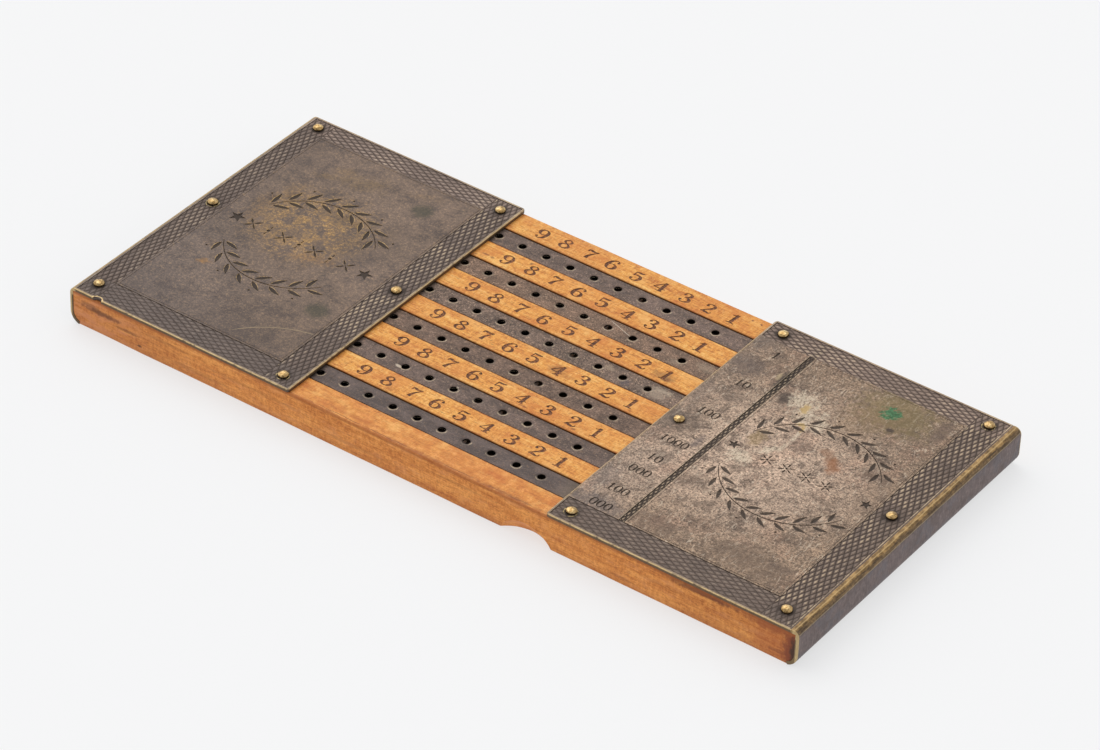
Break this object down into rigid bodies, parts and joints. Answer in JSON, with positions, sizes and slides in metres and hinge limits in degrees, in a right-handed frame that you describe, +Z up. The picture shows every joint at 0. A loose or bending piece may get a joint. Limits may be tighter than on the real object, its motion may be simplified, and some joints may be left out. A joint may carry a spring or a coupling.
{
  "type": "mechanical adding machine",
  "caption": "Pocket slide adding machine: a grooved wooden board with perforated metal slides under two engraved, pinned brass end covers, worked with a stylus.",
  "frame": {"origin": "under the centre of the two covers, on the surface the board rests on", "axes": "+X along the board, the way a slide is pulled to add; +Y towards the units column; +Z up out of the face with the stylus holes"},
  "size_m": [0.212, 0.0952, 0.0115],
  "materials": {
    "wood": "worn satin",
    "cover_dark": "dark patina",
    "cover_grey": "mottled patina",
    "pin_brass": "worn bright",
    "slide_metal": "dark, handled",
    "numeral_paper": "matt paper",
    "spring_steel": "plain"
  },
  "bodies": {
    "base": {"wooden_base": "wood", "left_cover": "cover_dark", "right_cover": "cover_grey", "left_cover_pins": "pin_brass", "right_cover_pins": "pin_brass", "spring_units": "spring_steel", "spring_tens": "spring_steel", "spring_hundreds": "spring_steel", "spring_thousands": "spring_steel", "spring_ten_thousands": "spring_steel", "spring_hundred_thousands": "spring_steel"},
    "slide_units_body": {"slide_units": "slide_metal", "numerals_units": "numeral_paper"},
    "slide_tens_body": {"slide_tens": "slide_metal", "numerals_tens": "numeral_paper"},
    "slide_hundreds_body": {"slide_hundreds": "slide_metal", "numerals_hundreds": "numeral_paper"},
    "slide_thousands_body": {"slide_thousands": "slide_metal", "numerals_thousands": "numeral_paper"},
    "slide_ten_thousands_body": {"slide_ten_thousands": "slide_metal", "numerals_ten_thousands": "numeral_paper"},
    "slide_hundred_thousands_body": {"slide_hundred_thousands": "slide_metal", "numerals_hundred_thousands": "numeral_paper"}
  },
  "joints": [
    {"name": "units_slide", "type": "slide", "parent": "base", "child": "slide_units_body", "axis": [1, 0, 0], "range_m": [0, 0.0648]},
    {"name": "tens_slide", "type": "slide", "parent": "base", "child": "slide_tens_body", "axis": [1, 0, 0], "range_m": [0, 0.0648]},
    {"name": "hundreds_slide", "type": "slide", "parent": "base", "child": "slide_hundreds_body", "axis": [1, 0, 0], "range_m": [0, 0.0648]},
    {"name": "thousands_slide", "type": "slide", "parent": "base", "child": "slide_thousands_body", "axis": [1, 0, 0], "range_m": [0, 0.0648]},
    {"name": "ten_thousands_slide", "type": "slide", "parent": "base", "child": "slide_ten_thousands_body", "axis": [1, 0, 0], "range_m": [0, 0.0648]},
    {"name": "hundred_thousands_slide", "type": "slide", "parent": "base", "child": "slide_hundred_thousands_body", "axis": [1, 0, 0], "range_m": [0, 0.0648]}
  ]
}
